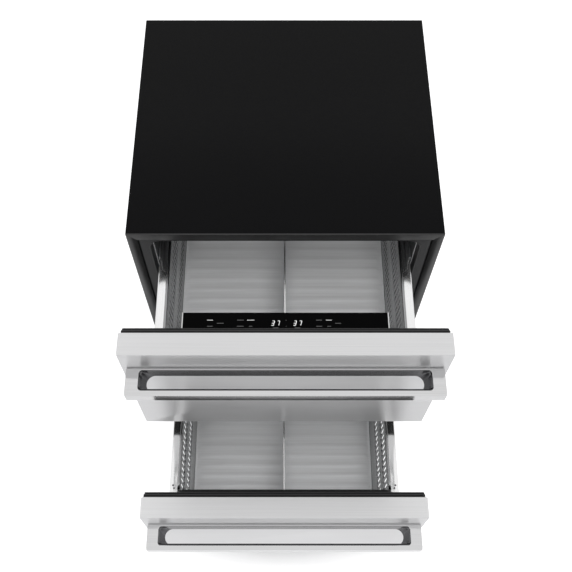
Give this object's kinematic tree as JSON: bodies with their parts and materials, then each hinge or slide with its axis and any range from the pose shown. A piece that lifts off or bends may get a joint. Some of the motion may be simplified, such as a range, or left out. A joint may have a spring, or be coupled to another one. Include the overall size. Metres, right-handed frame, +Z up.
{
  "type": "undercounter drawer refrigerator",
  "caption": "Built-in undercounter refrigerator with full-width stainless drawer fronts, bar handles, slotted metal bins on telescopic slides and a black steel cabinet.",
  "frame": {"origin": "centre of the footprint of the whole object with its drawers open as in the picture, on the floor", "axes": "+X to the right of someone standing before it, +Y to the back, +Z up; the drawers open towards -Y"},
  "size_m": [0.606, 1.0442, 0.875],
  "materials": {
    "black_powder_coat": "fine textured black powder coat",
    "dark_plastic": "dark grey moulded plastic",
    "black_plastic": "black moulded plastic",
    "grey_liner": "grey satin formed liner",
    "foam": "cream polyurethane foam, seen only when cut open",
    "zinc_sheet": "zinc-plated steel",
    "black_enamel": "black enamel on the steel shell",
    "aluminium_fins": "bare fins on a tube",
    "copper_pipe": "drawn copper pipe",
    "lamp_cover": "milky lamp cover",
    "brushed_stainless": "stainless steel brushed along its length",
    "satin_stainless": "satin to polished stainless steel",
    "gasket_rubber": "black soft magnetic gasket",
    "bin_steel": "dark satin stainless sheet",
    "bright_rail": "bright satin steel",
    "divider_aluminium": "satin anodised sheet",
    "black_glass": "black glass with lit numbers",
    "circuit_board": "green board"
  },
  "bodies": {
    "cabinet": {"cabinet_wrapper": "black_powder_coat", "breaker_frame": "dark_plastic", "inner_liner": "grey_liner", "cabinet_foam": "foam", "centre_mullion": "dark_plastic", "compartment_partition": "grey_liner", "back_panel": "zinc_sheet", "base_pan": "zinc_sheet", "toe_grille": "black_plastic", "machine_cover": "zinc_sheet", "cord_gland": "black_plastic", "compressor": "black_enamel", "condenser_coil": "aluminium_fins", "condenser_fan_shroud": "black_plastic", "drain_tray": "black_plastic", "discharge_pipe": "copper_pipe", "suction_line": "copper_pipe", "evaporator_coil": "aluminium_fins", "evaporator_cover": "grey_liner", "interior_light": "lamp_cover", "upper_cabinet_slide_left": "zinc_sheet", "upper_cabinet_slide_right": "zinc_sheet", "lower_cabinet_slide_left": "zinc_sheet", "lower_cabinet_slide_right": "zinc_sheet"},
    "upper_drawer": {"upper_front_skin": "brushed_stainless", "upper_front_liner": "black_plastic", "upper_front_foam": "foam", "upper_gasket": "gasket_rubber", "upper_handle": "satin_stainless", "upper_bin_tub": "bin_steel", "upper_bin_divider": "divider_aluminium", "upper_bin_wall_left": "bin_steel", "upper_rail_left": "bright_rail", "upper_bin_wall_right": "bin_steel", "upper_rail_right": "bright_rail", "control_housing": "black_plastic", "control_board": "circuit_board", "control_glass": "black_glass", "control_bezel": "satin_stainless"},
    "lower_drawer": {"lower_front_skin": "brushed_stainless", "lower_front_liner": "black_plastic", "lower_front_foam": "foam", "lower_gasket": "gasket_rubber", "lower_handle": "satin_stainless", "lower_bin_tub": "bin_steel", "lower_bin_divider": "divider_aluminium", "lower_bin_wall_left": "bin_steel", "lower_rail_left": "bright_rail", "lower_bin_wall_right": "bin_steel", "lower_rail_right": "bright_rail"},
    "upper_left_middle_slide": {"upper_middle_slide_left": "zinc_sheet"},
    "upper_right_middle_slide": {"upper_middle_slide_right": "zinc_sheet"},
    "lower_left_middle_slide": {"lower_middle_slide_left": "zinc_sheet"},
    "lower_right_middle_slide": {"lower_middle_slide_right": "zinc_sheet"},
    "condenser_fan": {"condenser_fan_rotor": "dark_plastic"},
    "evaporator_fan": {"evaporator_fan_rotor": "dark_plastic"},
    "leg_front_left": {"levelling_leg_front_left": "zinc_sheet"},
    "leg_front_right": {"levelling_leg_front_right": "zinc_sheet"},
    "leg_rear_left": {"levelling_leg_rear_left": "zinc_sheet"},
    "leg_rear_right": {"levelling_leg_rear_right": "zinc_sheet"}
  },
  "joints": [
    {"name": "upper_drawer_slide", "type": "slide", "parent": "cabinet", "child": "upper_drawer", "axis": [0, -1, 0], "range_m": [-0.18, 0.25]},
    {"name": "lower_drawer_slide", "type": "slide", "parent": "cabinet", "child": "lower_drawer", "axis": [0, -1, 0], "range_m": [-0.388, 0.042]},
    {"name": "upper_left_middle_slide_travel", "type": "slide", "parent": "cabinet", "child": "upper_left_middle_slide", "axis": [0, -1, 0], "range_m": [-0.09, 0.125]},
    {"name": "upper_right_middle_slide_travel", "type": "slide", "parent": "cabinet", "child": "upper_right_middle_slide", "axis": [0, -1, 0], "range_m": [-0.09, 0.125]},
    {"name": "lower_left_middle_slide_travel", "type": "slide", "parent": "cabinet", "child": "lower_left_middle_slide", "axis": [0, -1, 0], "range_m": [-0.194, 0.021]},
    {"name": "lower_right_middle_slide_travel", "type": "slide", "parent": "cabinet", "child": "lower_right_middle_slide", "axis": [0, -1, 0], "range_m": [-0.194, 0.021]},
    {"name": "condenser_fan_spin", "type": "hinge", "parent": "cabinet", "child": "condenser_fan", "pos_m": [-0.17, 0.43705, 0.1213], "axis": [1, 0, 0], "continuous": true},
    {"name": "evaporator_fan_spin", "type": "hinge", "parent": "cabinet", "child": "evaporator_fan", "pos_m": [0, 0.43605, 0.768], "axis": [0, 1, 0], "continuous": true},
    {"name": "leg_front_left_screw", "type": "slide", "parent": "cabinet", "child": "leg_front_left", "axis": [0, 0, -1], "range_m": [-0.008, 0.017]},
    {"name": "leg_front_right_screw", "type": "slide", "parent": "cabinet", "child": "leg_front_right", "axis": [0, 0, -1], "range_m": [-0.008, 0.017]},
    {"name": "leg_rear_left_screw", "type": "slide", "parent": "cabinet", "child": "leg_rear_left", "axis": [0, 0, -1], "range_m": [-0.008, 0.017]},
    {"name": "leg_rear_right_screw", "type": "slide", "parent": "cabinet", "child": "leg_rear_right", "axis": [0, 0, -1], "range_m": [-0.008, 0.017]}
  ],
  "couplings": [
    {"joint": "upper_left_middle_slide_travel", "follows": "upper_drawer_slide", "ratio": 0.5},
    {"joint": "upper_right_middle_slide_travel", "follows": "upper_drawer_slide", "ratio": 0.5},
    {"joint": "lower_left_middle_slide_travel", "follows": "lower_drawer_slide", "ratio": 0.5},
    {"joint": "lower_right_middle_slide_travel", "follows": "lower_drawer_slide", "ratio": 0.5}
  ]
}
